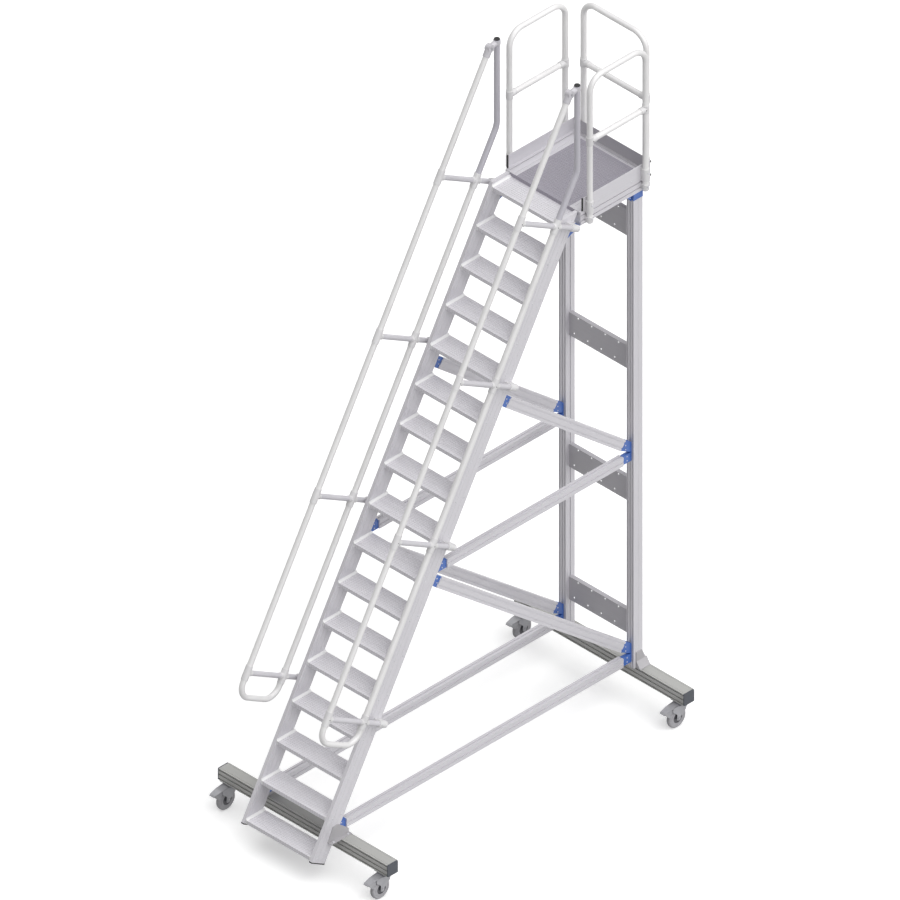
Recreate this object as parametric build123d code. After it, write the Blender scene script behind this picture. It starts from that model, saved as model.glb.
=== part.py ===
import os
from math import atan2, cos, radians, sin, tan

from build123d import *

# Mobile platform stairs: a 60 degree aluminium flight of steps up to a guarded
# work platform, on two cross beams with a braked swivel caster at each end.
# All lengths are millimetres. X runs across the machine, Y in the climbing
# direction and Z up. Stations along Y are measured from the front beam's
# centre line and are shifted at the end so that the origin lies under the
# middle of the machine, on the floor.

# Chassis beams: square slotted profile, open slots front and rear
wheelbase = 2641.0
beam_length = 1500.0
beam_width = 90.0
beam_height = 90.0
beam_bottom = 187.0
beam_slot_mouth = 10.0
beam_slot_width = 15.0
beam_slot_lip = 3.0
beam_slot_depth = 9.0
beam_slot_pitch = 33.0
beam_top_groove = 4.0
beam_top_groove_depth = 2.0
beam_top_groove_pitch = 66.0
beam_cap = 8.0
beam_cap_round = 6.0

# Flight: stringers set out from the front corner of their feet
slope = 60.0
step_rise = 237.2
step_count = 17
first_step_height = 216.8
clear_width = 580.0
stringer_depth = 132.0
stringer_thickness = 25.0
stringer_rib_groove = 3.0
stringer_rib_pitch = 8.0
stringer_line_width = 4.0
stringer_line_depth = 1.2
stringer_line_shares = (-0.35, -0.16, 0.16, 0.35)
foot_reach = 279.0
foot_height = 198.0
foot_cap = 8.0

# Steps: open ribbed extrusion with a deep nosing and upturned ends
tread_setback = 4.0
tread_depth = 166.0
tread_plate = 5.0
tread_nose = 28.0
tread_lip = 24.0
tread_wall = 4.0
tread_rib = 2.0
tread_rib_width = 5.0
tread_rib_pitch = 17.0
tread_upturn = 15.0

# Platform: side beams, cross beams, deck and toe boards
platform_overhang = 74.0
platform_margin = 20.0
platform_beam_height = 102.0
platform_beam_width = 100.0
platform_slot_mouth = 7.0
platform_slot_width = 12.0
platform_slot_lip = 2.5
platform_slot_depth = 7.0
platform_slot_pitch = 41.0
platform_top_groove = 7.0
platform_top_groove_depth = 3.0
platform_top_groove_pitch = 50.0
platform_cross_width = 45.0
deck_thickness = 28.0
deck_nose = 2.5
deck_rib = 2.0
deck_rib_width = 6.0
deck_rib_pitch = 20.0
toe_height = 98.0
toe_thickness = 4.0
toe_foot = 25.0
toe_setback = 18.0

# Guards: bent tube frames outside the toe boards
tube = 40.0
guard_height = 1009.0
guard_mid_height = 536.0
guard_drop = 92.0
guard_bend_share = 0.2211
guard_gap = 3.0
guard_front_share = 0.0952
guard_rear_share = 0.1017
rear_guard_inset = 55.0
fitting_wall = 4.0
socket_wall = 3.0
fitting_reach = 50.0
fitting_height = 60.0
low_clamp_drop = 65.0
low_clamp_height = 40.0
high_clamp_rise = 29.0
high_clamp_height = 90.0

# Rear posts and what ties them
post_width = 62.0
post_depth = 80.0
post_advance = 71.0
post_slot = 8.0
post_slot_depth = 6.0
post_slot_pitch = 23.0
post_line = 3.0
post_line_depth = 1.2
cross_plate_wall = 4.0
cross_plate_flange = 30.0
cross_plate_setback = 30.0
cross_plate_height = 177.0
top_plate_height = 200.0
cross_plate_shares = (0.0609, 0.3403, 0.6181, 0.8981)

# Level braces, diagonals and their end shoes
brace_width = 45.0
brace_height = 66.0
brace_slot = 8.0
brace_slot_depth = 5.0
brace_level_shares = (0.0222, 0.4466)
brace_front_gap = 37.0
brace_rear_gap = 80.0
diagonal_width = 40.0
diagonal_height = 77.0
diagonal_front_gap = 44.0
diagonal_rise = 56.0
diagonal_row_share = 0.25
diagonal_stringer_shares = (0.4418, 0.722)
shoe_width = 25.0
shoe_margin = 14.0
platform_shoe_share = 0.1096
platform_shoe_drop = 60.0

# Angle brackets at the feet of stringers and posts
foot_leg_height = 128.0
foot_leg_reach = 75.0
foot_bracket_width = 60.0
front_bracket_reach = 94.0
front_bracket_width = 160.0
foot_wall = 6.0

# Handrails, set out along the slope and square to it
rail_gap = 23.0
outer_rail_offset = 460.0
knee_rail_offset = 88.0
rail_bend = 100.0
loop_reach = 166.0
upright_advance = 112.0
upright_bend = 140.0
upright_stub = 7.0
sleeve_length = 100.0
stub_length = 14.0
arm_diameter = 36.0
arm_shares = (0.222, 0.498, 0.747, 0.995)
arm_foot_length = 82.0
arm_foot_width = 40.0
arm_foot_round = 14.0
arm_foot_overrun = 12.0
elbow_reach = 66.0
elbow_socket = 62.0
elbow_neck = 40.0
elbow_knuckle = 52.0
elbow_knuckle_width = 38.0
collar_rise = 12.0
collar_height = 30.0
rail_cap = 4.0

# Casters: 150 mm wheel trailing behind its swivel, brake pedal over the wheel
caster_inset = 63.0
wheel_radius = 75.0
wheel_width = 34.0
tread_round = 13.0
caster_trail = 47.0
hub_radius = 38.0
hub_recess = 3.0
hub_barrel = 15.0
rim_groove = 3.0
rim_groove_depth = 1.5
rim_groove_radius = 54.0
axle_radius = 6.0
axle_clearance = 0.25
axle_head = 5.0
axle_head_radius = 11.0
fork_gap = 6.0
fork_wall = 4.0
fork_crown_radius = 40.0
fork_crown_wall = 5.0
fork_head_width = 74.0
fork_boss = 18.0
race_radius = 34.0
race_gap = 0.3
race_height = 8.0
plate_length = 105.0
plate_width = 88.0
plate_wall = 6.0
pedal_width = 42.0
pedal_root_width = 78.0
pedal_wall = 4.0
pedal_reach = 170.0
pedal_bend = 108.0
pedal_drop = 10.0
pedal_lip = 9.0
hub_end_gap = 0.6

# Sizes that follow
climb = radians(slope)
step_going = step_rise / tan(climb)
last_step_height = first_step_height + step_rise * (step_count - 1)
deck_top = last_step_height + deck_thickness
beam_top = beam_bottom + beam_height
stringer_inner = clear_width / 2
stringer_outer = stringer_inner + stringer_thickness
stringer_centre = stringer_inner + stringer_thickness / 2
foot_front = -foot_reach
tread_front = foot_front + (first_step_height - foot_height) / tan(climb) + tread_setback
last_tread_rear = tread_front + step_going * (step_count - 1) + tread_depth
deck_front = last_tread_rear
platform_front = deck_front + deck_nose
platform_rear = wheelbase + platform_overhang
platform_outer = stringer_outer + platform_margin
platform_inner = platform_outer - platform_beam_width
platform_low = deck_top - platform_beam_height
flight_length = (deck_top - foot_height) / sin(climb)
sleeve_outer = tube / 2 + fitting_wall
socket_outer = tube / 2 + socket_wall
guard_top = deck_top + guard_height
guard_mid = deck_top + guard_mid_height
guard_bottom = deck_top - guard_drop
side_guard_x = platform_outer + guard_gap + tube / 2
platform_length = platform_rear - platform_front
side_guard_front = platform_front + guard_front_share * platform_length
side_guard_rear = platform_rear - guard_rear_share * platform_length
guard_bend = guard_bend_share * (side_guard_rear - side_guard_front)
rear_guard_x = platform_outer - rear_guard_inset
rear_guard_y = platform_rear + guard_gap + tube / 2
post_front = wheelbase - post_advance
post_rise = platform_low - beam_top
platform_shoe_reach = platform_shoe_share * (post_front - platform_front)
rail_x = stringer_outer + rail_gap + tube / 2
arm_stations = tuple(share * flight_length for share in arm_shares)
loop_station = arm_stations[0] - loop_reach
upright_y = side_guard_front - upright_advance
elbow_y = upright_y - elbow_reach
elbow_along = (elbow_y - foot_front + outer_rail_offset * sin(climb)) / cos(climb)
elbow_z = foot_height + elbow_along * sin(climb) + outer_rail_offset * cos(climb)
collar_level = elbow_z + collar_rise
upright_top = collar_level + collar_height / 2 + upright_stub
caster_x = beam_length / 2 - caster_inset
crown_top = beam_bottom - plate_wall - race_height - race_gap
crown_low = crown_top - fork_crown_wall
fork_inner = wheel_width / 2 + fork_gap
front_extent = foot_front - foot_cap * cos(climb)
rear_extent = rear_guard_y + sleeve_outer
middle = (front_extent + rear_extent) / 2
sides = (("left", -1), ("right", 1))
ends = (("front", 0.0), ("rear", wheelbase))


def slope_point(along, behind):
    """Y and Z of a point so far up the stringer's front edge and behind it."""
    y = foot_front + along * cos(climb) + behind * sin(climb)
    z = foot_height + along * sin(climb) - behind * cos(climb)
    return y, z


def slope_plane(along=0.0, behind=0.0, x=0.0):
    """Plane square to the flight: local X across, local Y forward and up."""
    y, z = slope_point(along, behind)
    return Plane(origin=(x, y, z), x_dir=(1, 0, 0), z_dir=(0, cos(climb), sin(climb)))


def side_plane(x):
    """Upright plane facing +X at x, with local X along Y and local Y up."""
    return Plane(origin=(x, 0, 0), x_dir=(0, 1, 0), z_dir=(1, 0, 0))


def box(x, y, z):
    """Box from its two limits on each axis."""
    size = (x[1] - x[0], y[1] - y[0], z[1] - z[0])
    centre = ((x[0] + x[1]) / 2, (y[0] + y[1]) / 2, (z[0] + z[1]) / 2)
    return Pos(*centre) * Box(*size)


def slotted(width, height, slots):
    """Rectangle with slots: each is (face, offset, mouth, lip, breadth, depth)."""
    turns = {"+x": 0, "+y": 90, "-x": 180, "-y": 270}
    sketch = Rectangle(width, height)
    for face, offset, mouth, lip, breadth, depth in slots:
        reach = (width if face in ("+x", "-x") else height) / 2
        slot = Pos(reach - depth / 2, offset) * Rectangle(depth, mouth)
        slot += Pos(reach - (lip + depth) / 2, offset) * Rectangle(depth - lip, breadth)
        sketch -= Rot(0, 0, turns[face]) * slot
    return sketch


def groove(face, offset, breadth, depth):
    """Plain square groove for a slotted section."""
    return face, offset, breadth, 0, breadth, depth


def bent_tube(points, radii):
    """Round bar of the tube's diameter along straight runs and arcs."""
    path = FilletPolyline(*points, radius=radii)
    start = Plane(origin=path @ 0, z_dir=path % 0)
    return sweep(start * Circle(tube / 2), path=path)


def rod(start, end, radius):
    """Straight round bar between two points."""
    axis = Vector(*end) - Vector(*start)
    plane = Plane(origin=start, z_dir=axis)
    return extrude(plane * Circle(radius), axis.length)


def chassis_beam(y):
    """Cross beam with three undercut slots on its front and rear faces."""
    slot = (beam_slot_mouth, beam_slot_lip, beam_slot_width, beam_slot_depth)
    slots = []
    for row in (-1, 0, 1):
        slots.append(("+x", row * beam_slot_pitch, *slot))
        slots.append(("-x", row * beam_slot_pitch, *slot))
    for row in (-1, 1):
        offset = row * beam_top_groove_pitch / 2
        slots.append(groove("+y", offset, beam_top_groove, beam_top_groove_depth))
    plane = Plane(
        origin=(-beam_length / 2, y, beam_bottom + beam_height / 2),
        x_dir=(0, 1, 0),
        z_dir=(1, 0, 0),
    )
    return extrude(plane * slotted(beam_width, beam_height, slots), beam_length)


def beam_end_caps():
    blank = Box(beam_cap, beam_width, beam_height)
    blank = fillet(blank.edges().filter_by(Axis.X), beam_cap_round)
    caps = []
    for end, y in ends:
        for side, sign in sides:
            x = sign * (beam_length + beam_cap) / 2
            caps.append(Pos(x, y, beam_bottom + beam_height / 2) * blank)
    return caps


def stringer(sign):
    """Side member with a ribbed front edge, cut level at the deck."""
    slots = []
    for row in (-1, 0, 1):
        offset = row * stringer_rib_pitch
        slots.append(groove("+y", offset, stringer_rib_groove, stringer_rib_groove))
    for share in stringer_line_shares:
        for face in ("+x", "-x"):
            offset = share * stringer_depth
            slots.append(groove(face, offset, stringer_line_width, stringer_line_depth))
    section = slotted(stringer_thickness, stringer_depth, slots)
    plane = slope_plane(behind=stringer_depth / 2, x=sign * stringer_centre)
    bar = extrude(plane * section, flight_length + stringer_depth)
    keep = box(
        (-stringer_outer, stringer_outer),
        (foot_front - stringer_depth, deck_front),
        (0, deck_top),
    )
    return bar & keep


def stringer_foot_caps():
    caps = []
    for side, sign in sides:
        plane = slope_plane(-foot_cap, stringer_depth / 2, sign * stringer_centre)
        caps.append(extrude(plane * Rectangle(stringer_thickness, stringer_depth), foot_cap))
    return caps


def tread_section():
    """Side view of one step, with the top front corner of the nosing at zero."""
    corner = (Align.MIN, Align.MAX)
    top = Rectangle(tread_depth, tread_plate, align=corner)
    nose = Rectangle(tread_wall, tread_nose, align=corner)
    lip = Rectangle(tread_wall, tread_lip, align=corner)
    section = top + nose + Pos(tread_depth - tread_wall, 0) * lip
    count = int((tread_depth - tread_rib_pitch) / tread_rib_pitch)
    start = (tread_depth - (count - 1) * tread_rib_pitch) / 2
    cut = Rectangle(tread_rib_width, tread_rib, align=(Align.CENTER, Align.MAX))
    for index in range(count):
        section -= Pos(start + index * tread_rib_pitch, 0) * cut
    return section


def tread_end(sign):
    """Upturned end with a hollow round, standing on the step inside the stringer."""
    square = Rectangle(tread_upturn, tread_upturn, align=(Align.MIN, Align.MIN))
    round_off = Pos(tread_upturn, tread_upturn) * Circle(tread_upturn - tread_wall / 2)
    plane = Plane(
        origin=(sign * stringer_inner, 0, -tread_rib), x_dir=(-sign, 0, 0), z_dir=(0, sign, 0)
    )
    return extrude(plane * (square - round_off), sign * tread_depth)


def treads():
    plane = Plane(origin=(-stringer_inner, 0, 0), x_dir=(0, 1, 0), z_dir=(1, 0, 0))
    step = extrude(plane * tread_section(), clear_width)
    for side, sign in sides:
        step += tread_end(sign)
    steps = []
    for index in range(step_count):
        y = tread_front + index * step_going
        z = first_step_height + index * step_rise
        steps.append(Pos(0, y, z) * step)
    return steps


def platform_side(sign):
    """Side beam of the platform: undercut slots outside, plain grooves on top."""
    outer = "+x" if sign > 0 else "-x"
    slots = []
    for row in (-1, 1):
        slots.append(
            (
                outer,
                row * platform_slot_pitch / 2,
                platform_slot_mouth,
                platform_slot_lip,
                platform_slot_width,
                platform_slot_depth,
            )
        )
        offset = row * platform_top_groove_pitch / 2
        slots.append(groove("-y", offset, platform_top_groove, platform_top_groove_depth))
    plane = Plane(
        origin=(
            sign * (platform_inner + platform_beam_width / 2),
            platform_front,
            deck_top - platform_beam_height / 2,
        ),
        x_dir=(1, 0, 0),
        z_dir=(0, 1, 0),
    )
    section = slotted(platform_beam_width, platform_beam_height, slots)
    return extrude(plane * section, platform_rear - platform_front)


def platform_cross_beams():
    """Front beam under the deck, and rear beam flush with it with a grooved top."""
    across = (-platform_inner, platform_inner)
    front = box(
        across,
        (platform_front, platform_front + platform_cross_width),
        (platform_low, deck_top - deck_thickness),
    )
    start = platform_rear - platform_cross_width
    rear = box(across, (start, platform_rear), (platform_low, deck_top))
    middle_line = start + (platform_cross_width - toe_foot) / 2
    rear -= box(
        across,
        (middle_line - platform_top_groove / 2, middle_line + platform_top_groove / 2),
        (deck_top - platform_top_groove_depth, deck_top),
    )
    return [front, rear]


def platform_deck():
    """Ribbed deck between the side beams, its nose over the last step."""
    rear = platform_rear - platform_cross_width
    low = deck_top - deck_thickness
    plate = box((-platform_inner, platform_inner), (deck_front, rear), (low, deck_top))
    plate += box(
        (-stringer_outer, stringer_outer), (deck_front, platform_front), (low, deck_top)
    )
    length = rear - platform_front
    count = int((length - deck_rib_pitch) / deck_rib_pitch)
    start = platform_front + (length - (count - 1) * deck_rib_pitch) / 2
    for index in range(count):
        y = start + index * deck_rib_pitch
        plate -= box(
            (-platform_inner, platform_inner),
            (y - deck_rib_width / 2, y + deck_rib_width / 2),
            (deck_top - deck_rib, deck_top),
        )
    return plate


def toe_board_side(sign):
    """Angle with its foot on the side beam and its wall over the beam's outer edge."""
    wall = Rectangle(toe_thickness, toe_height, align=(Align.MAX, Align.MIN))
    foot = Rectangle(toe_foot, toe_thickness, align=(Align.MAX, Align.MIN))
    start = platform_front + toe_setback
    plane = Plane(
        origin=(sign * platform_outer, start, deck_top),
        x_dir=(sign, 0, 0),
        z_dir=(0, -sign, 0),
    )
    return extrude(plane * (wall + foot), -sign * (platform_rear - toe_thickness - start))


def toe_board_rear():
    """Angle with its foot and its wall on the rear cross beam."""
    wall = box(
        (-platform_outer, platform_outer),
        (platform_rear - toe_thickness, platform_rear),
        (deck_top, deck_top + toe_height),
    )
    foot = box(
        (toe_foot - platform_outer, platform_outer - toe_foot),
        (platform_rear - toe_foot, platform_rear),
        (deck_top, deck_top + toe_thickness),
    )
    return wall + foot


def guard_side(sign):
    x = sign * side_guard_x
    points = [
        (x, side_guard_front, guard_bottom),
        (x, side_guard_front, guard_top),
        (x, side_guard_rear, guard_top),
        (x, side_guard_rear, guard_bottom),
    ]
    return bent_tube(points, guard_bend)


def guard_rear():
    points = [
        (-rear_guard_x, rear_guard_y, guard_bottom),
        (-rear_guard_x, rear_guard_y, guard_top),
        (rear_guard_x, rear_guard_y, guard_top),
        (rear_guard_x, rear_guard_y, guard_bottom),
    ]
    return bent_tube(points, guard_bend)


def guard_mid_rails():
    rails = []
    for side, sign in sides:
        x = sign * side_guard_x
        start = (x, side_guard_front + sleeve_outer, guard_mid)
        end = (x, side_guard_rear - sleeve_outer, guard_mid)
        rails.append(rod(start, end, tube / 2))
    start = (sleeve_outer - rear_guard_x, rear_guard_y, guard_mid)
    end = (rear_guard_x - sleeve_outer, rear_guard_y, guard_mid)
    rails.append(rod(start, end, tube / 2))
    return rails


def tee(x, y, toward):
    """Tee on a guard post, its socket reaching along the mid rail."""
    low = (x, y, guard_mid - fitting_height / 2)
    high = (x, y, guard_mid + fitting_height / 2)
    far = (x + toward[0] * fitting_reach, y + toward[1] * fitting_reach, guard_mid)
    body = rod(low, high, sleeve_outer) + rod((x, y, guard_mid), far, socket_outer)
    post = rod((x, y, guard_bottom), (x, y, guard_top), tube / 2)
    start = (x + toward[0] * sleeve_outer, y + toward[1] * sleeve_outer, guard_mid)
    rail = rod(start, far, tube / 2)
    return body - post - rail


def guard_fittings():
    parts = []
    for side, sign in sides:
        parts.append(tee(sign * side_guard_x, side_guard_front, (0, 1)))
        parts.append(tee(sign * side_guard_x, side_guard_rear, (0, -1)))
        parts.append(tee(sign * rear_guard_x, rear_guard_y, (-sign, 0)))
    return parts


def clamp(height):
    """Collar round an upright tube, its saddle reaching back along local -X."""
    half = height / 2
    body = rod((0, 0, -half), (0, 0, half), sleeve_outer)
    wall = -tube / 2 - guard_gap
    body += box((wall, 0), (-tube / 2, tube / 2), (-half, half))
    body -= rod((0, 0, -half), (0, 0, half), tube / 2)
    keep = box((wall, sleeve_outer), (-sleeve_outer, sleeve_outer), (-half, half))
    return body & keep


def guard_clamps():
    parts = []
    levels = (
        (deck_top - low_clamp_drop, low_clamp_height),
        (deck_top + high_clamp_rise, high_clamp_height),
    )
    for z, height in levels:
        body = clamp(height)
        for side, sign in sides:
            turn = Rot(0, 0, 0 if sign > 0 else 180)
            for y in (side_guard_front, side_guard_rear):
                parts.append(Pos(sign * side_guard_x, y, z) * turn * body)
            parts.append(Pos(sign * rear_guard_x, rear_guard_y, z) * Rot(0, 0, 90) * body)
    return parts


def rear_post(sign):
    """Post with three slots front and rear, one inside and a fine line outside."""
    inner = "-x" if sign > 0 else "+x"
    outer = "+x" if sign > 0 else "-x"
    slots = [groove(inner, 0, post_slot, post_slot_depth), groove(outer, 0, post_line, post_line_depth)]
    for row in (-1, 0, 1):
        for face in ("+y", "-y"):
            slots.append(groove(face, row * post_slot_pitch, post_slot, post_slot_depth))
    plane = Plane(origin=(sign * stringer_centre, post_front + post_depth / 2, beam_top))
    return extrude(plane * slotted(post_width, post_depth, slots), post_rise)


def cross_plate_set():
    """Folded channels between the posts, open to the rear."""
    plates = []
    half = stringer_centre - post_width / 2
    y = post_front + cross_plate_setback
    for index, share in enumerate(cross_plate_shares):
        last = index == len(cross_plate_shares) - 1
        bottom = beam_top + share * post_rise
        top = bottom + (top_plate_height if last else cross_plate_height)
        outer = box((-half, half), (y, y + cross_plate_flange), (bottom, top))
        inner = box(
            (-half, half),
            (y + cross_plate_wall, y + cross_plate_flange),
            (bottom + cross_plate_wall, top - cross_plate_wall),
        )
        plates.append(outer - inner)
    return plates


def stringer_rear_at(z):
    """Y of the stringer's rear edge at a height."""
    y, base = slope_point(0, stringer_depth)
    return y + (z - base) / tan(climb)


def brace_level(share):
    return beam_top + share * post_rise


def level_brace_ends(level):
    front = stringer_rear_at(level + brace_height / 2) + brace_front_gap
    return front, post_front - brace_rear_gap


def level_braces():
    bars = []
    slots = []
    for face in ("+x", "-x", "+y", "-y"):
        slots.append(groove(face, 0, brace_slot, brace_slot_depth))
    section = slotted(brace_width, brace_height, slots)
    for share in brace_level_shares:
        level = brace_level(share)
        front, rear = level_brace_ends(level)
        for side, sign in sides:
            origin = (sign * stringer_centre, front, level)
            plane = Plane(origin=origin, x_dir=(1, 0, 0), z_dir=(0, 1, 0))
            bars.append(extrude(plane * section, rear - front))
    return bars


def diagonal_spans():
    """Where each diagonal meets stringer and post: distance up, and height."""
    spans = []
    for stringer_share, level_share in zip(diagonal_stringer_shares, brace_level_shares):
        spans.append((stringer_share * flight_length, brace_level(level_share) + diagonal_rise))
    return spans


def diagonal_ends(along, post_height):
    """Both end points of a diagonal bar, its slope and its length."""
    y0, z0 = slope_point(along, stringer_depth)
    y1, z1 = post_front, post_height
    fall = atan2(z1 - z0, y1 - y0)
    front = (y0 + diagonal_front_gap * cos(fall), z0 + diagonal_front_gap * sin(fall))
    rear = (y1 - brace_rear_gap, z1 - brace_rear_gap * tan(fall))
    length = ((rear[0] - front[0]) ** 2 + (rear[1] - front[1]) ** 2) ** 0.5
    return front, rear, fall, length


def diagonal_braces():
    bars = []
    slots = []
    for face in ("+x", "-x"):
        for row in (-1, 1):
            offset = row * diagonal_row_share * diagonal_height
            slots.append(groove(face, offset, brace_slot, brace_slot_depth))
    section = slotted(diagonal_width, diagonal_height, slots)
    for along, post_height in diagonal_spans():
        front, rear, fall, length = diagonal_ends(along, post_height)
        for side, sign in sides:
            plane = Plane(
                origin=(sign * stringer_centre, front[0], front[1]),
                x_dir=(1, 0, 0),
                z_dir=(0, cos(fall), sin(fall)),
            )
            bars.append(extrude(plane * section, length))
    return bars


def web(points, x, width):
    """Upright web of the given outline, centred on x."""
    outline = side_plane(x - width / 2) * make_face(Polyline(*points, close=True))
    return extrude(outline, width)


def end_shoes():
    """Shoes that fill the space between the bar ends and what carries them."""
    outlines = []
    for share in brace_level_shares:
        level = brace_level(share)
        front, rear = level_brace_ends(level)
        low = level - brace_height / 2
        high = level + brace_height / 2
        outlines.append(
            [
                (stringer_rear_at(low), low),
                (front, low),
                (front, high),
                (stringer_rear_at(high), high),
            ]
        )
        outlines.append([(rear, low), (post_front, low), (post_front, high), (rear, high)])
    for along, post_height in diagonal_spans():
        front, rear, fall, length = diagonal_ends(along, post_height)
        half = diagonal_height / 2
        up = (-sin(fall) * half, cos(fall) * half)
        outlines.append(
            [
                slope_point(along - half, stringer_depth),
                (front[0] - up[0], front[1] - up[1]),
                (front[0] + up[0], front[1] + up[1]),
                slope_point(along + half, stringer_depth),
            ]
        )
        outlines.append(
            [
                (rear[0] - up[0], rear[1] - up[1]),
                (post_front, post_height - half + shoe_margin),
                (post_front, post_height + half + shoe_margin),
                (rear[0] + up[0], rear[1] + up[1]),
            ]
        )
    parts = []
    for side, sign in sides:
        for outline in outlines:
            parts.append(web(outline, sign * stringer_centre, shoe_width))
    return parts


def platform_shoes():
    """Shoes under the platform: behind the stringers and in front of the posts."""
    drop = platform_low - platform_shoe_drop
    behind = [
        (stringer_rear_at(drop), drop),
        (platform_front + platform_shoe_reach, platform_low),
        (stringer_rear_at(platform_low), platform_low),
    ]
    before = [
        (post_front, drop),
        (post_front, platform_low),
        (post_front - platform_shoe_reach, platform_low),
    ]
    parts = []
    for side, sign in sides:
        for outline in (behind, before):
            parts.append(web(outline, sign * stringer_centre, shoe_width))
    return parts


def foot_bracket(x, start, width, sign):
    """Angle with two cheeks: one leg up the carried piece, the other on the beam."""
    leg = Rectangle(foot_wall, foot_leg_height, align=(Align.MIN, Align.MIN))
    sole = Rectangle(foot_leg_reach, foot_wall, align=(Align.MIN, Align.MIN))
    outline = [
        (0, 0),
        (foot_leg_reach, 0),
        (foot_leg_reach, foot_wall),
        (foot_wall, foot_leg_height),
        (0, foot_leg_height),
    ]
    cheek = make_face(Polyline(*outline, close=True))
    plane = Plane(origin=(x, start, beam_top), x_dir=(sign, 0, 0), z_dir=(0, -sign, 0))
    angle = extrude(plane * (leg + sole), -sign * width)
    near = extrude(plane * cheek, -sign * foot_wall)
    return angle + near + Pos(0, width - foot_wall, 0) * near


def foot_brackets():
    parts = []
    for side, sign in sides:
        start = -beam_width / 2 - front_bracket_reach
        parts.append(foot_bracket(sign * stringer_outer, start, front_bracket_width, sign))
        outer = stringer_centre + post_width / 2
        start = post_front + (post_depth - foot_bracket_width) / 2
        parts.append(foot_bracket(sign * outer, start, foot_bracket_width, sign))
    return parts


def rail_point(x, along, ahead):
    """Point in a handrail's plane, so far up the flight and ahead of its front."""
    y, z = slope_point(along, -ahead)
    return x, y, z


def handrail(sign):
    """Outer rail with its lower loop, one bent tube up to the knee rail's first cross."""
    x = sign * rail_x
    points = [
        rail_point(x, elbow_along - elbow_knuckle / 2, outer_rail_offset),
        rail_point(x, loop_station, outer_rail_offset),
        rail_point(x, loop_station, knee_rail_offset),
        rail_point(x, arm_stations[0], knee_rail_offset),
    ]
    return bent_tube(points, rail_bend)


def knee_rail(sign):
    """Inner rail from the first cross to the bend, then the upright."""
    x = sign * rail_x
    start = rail_point(x, arm_stations[0], knee_rail_offset)
    bend = start[2] + (upright_y - start[1]) * tan(climb)
    points = [start, (x, upright_y, bend), (x, upright_y, upright_top)]
    return bent_tube(points, upright_bend)


def rail_arms():
    """Arms square to the flight: outer rail to knee rail, and on to the foot."""
    arms = []
    foot_end = stringer_depth + arm_foot_overrun - fitting_wall
    spans = (
        (outer_rail_offset - sleeve_outer, knee_rail_offset + sleeve_outer),
        (knee_rail_offset - sleeve_outer, -foot_end),
    )
    for side, sign in sides:
        x = sign * rail_x
        for along in arm_stations:
            for ahead, behind in spans:
                start = rail_point(x, along, ahead)
                arms.append(rod(start, rail_point(x, along, behind), arm_diameter / 2))
    return arms


def rail_fitting(x, along, ahead, ways):
    """Sleeve on a rail with a short stub round the arm on each way it leaves."""
    low = rail_point(x, along - sleeve_length / 2, ahead)
    high = rail_point(x, along + sleeve_length / 2, ahead)
    centre = rail_point(x, along, ahead)
    body = rod(low, high, sleeve_outer)
    for way in ways:
        near = rail_point(x, along, ahead + way * sleeve_outer)
        far = rail_point(x, along, ahead + way * (sleeve_outer + stub_length))
        body += rod(centre, far, arm_diameter / 2 + socket_wall)
        body -= rod(near, far, arm_diameter / 2)
    return body - rod(low, high, tube / 2)


def rail_fittings():
    parts = []
    for side, sign in sides:
        x = sign * rail_x
        for along in arm_stations:
            parts.append(rail_fitting(x, along, outer_rail_offset, (-1,)))
            parts.append(rail_fitting(x, along, knee_rail_offset, (1, -1)))
    return parts


def arm_feet():
    """Round-ended feet that hold each arm off the stringer's outer face."""
    parts = []
    end = stringer_depth + arm_foot_overrun
    start = end - arm_foot_length
    bore_end = end - fitting_wall
    for side, sign in sides:
        x = sign * rail_x
        for along in arm_stations:
            barrel = rod(rail_point(x, along, -start), rail_point(x, along, -end), sleeve_outer)
            rim = barrel.edges().sort_by(Axis.Z).group_by(Axis.Z)[0]
            barrel = fillet(rim, arm_foot_round)
            plane = slope_plane(along, (start + stringer_depth) / 2, x)
            web_size = (rail_gap + tube / 2, stringer_depth - start, arm_foot_width)
            saddle = Pos(-sign * web_size[0] / 2, 0, 0) * Box(*web_size)
            arm = rod(
                rail_point(x, along, -start), rail_point(x, along, -bore_end), arm_diameter / 2
            )
            parts.append(barrel + plane.location * saddle - arm)
    return parts


def rail_elbows():
    """Cast elbow from the outer rail's top end to a collar on the upright."""
    parts = []
    for side, sign in sides:
        x = sign * rail_x
        below = rail_point(x, elbow_along - elbow_socket, outer_rail_offset)
        end = rail_point(x, elbow_along - elbow_knuckle / 2, outer_rail_offset)
        pivot = (x, elbow_y, elbow_z)
        knuckle = rod(
            (x - elbow_knuckle_width / 2, elbow_y, elbow_z),
            (x + elbow_knuckle_width / 2, elbow_y, elbow_z),
            elbow_knuckle / 2,
        )
        collar_low = (x, upright_y, collar_level - collar_height / 2)
        collar_high = (x, upright_y, collar_level + collar_height / 2)
        body = rod(below, pivot, sleeve_outer) + knuckle
        body += rod(pivot, (x, upright_y, collar_level), elbow_neck / 2)
        body += rod(collar_low, collar_high, sleeve_outer)
        body -= rod((x, upright_y, elbow_z - elbow_knuckle), (x, upright_y, upright_top), tube / 2)
        parts.append(body - rod(below, end, tube / 2))
    return parts


def rail_caps():
    caps = []
    for side, sign in sides:
        cap = extrude(Circle(tube / 2), rail_cap)
        caps.append(Pos(sign * rail_x, upright_y, upright_top) * cap)
    return caps


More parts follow.
